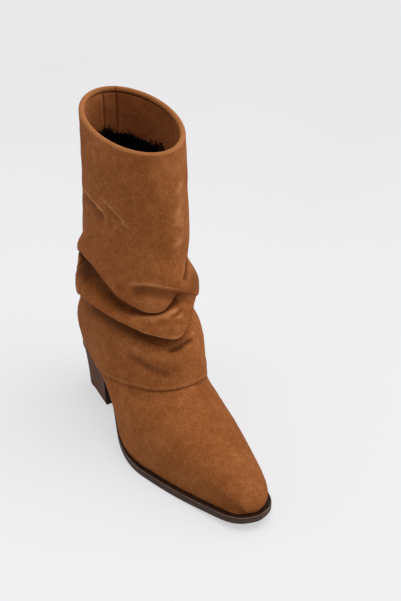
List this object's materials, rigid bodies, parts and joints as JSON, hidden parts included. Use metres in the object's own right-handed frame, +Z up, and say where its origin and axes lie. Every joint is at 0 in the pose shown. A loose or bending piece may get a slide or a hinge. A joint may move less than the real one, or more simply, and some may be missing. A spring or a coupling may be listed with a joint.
{
  "type": "slouch boot",
  "caption": "Suede slouch boot for the right foot: soft folded shaft open at the collar, lapped vamp with a blunt narrow toe, thin sole with arch and toe spring, tapered block heel.",
  "frame": {"origin": "middle of the boot's bounding box, on the floor that the heel and the forefoot stand on", "axes": "+X towards the toe, +Y towards the inner (medial) side of the foot, +Z up"},
  "size_m": [0.279, 0.0955, 0.2916],
  "materials": {
    "suede": "napped suede, matt, lighter on the rubbed ridges",
    "sole": "dark brown edge dressing, satin",
    "heel": "dark brown lacquer, satin",
    "footbed": "dark, matt"
  },
  "bodies": {
    "root": {"outsole": "sole", "heel": "heel", "insole": "footbed", "upper_vamp": "suede", "upper_shaft": "suede"}
  },
  "joints": []
}
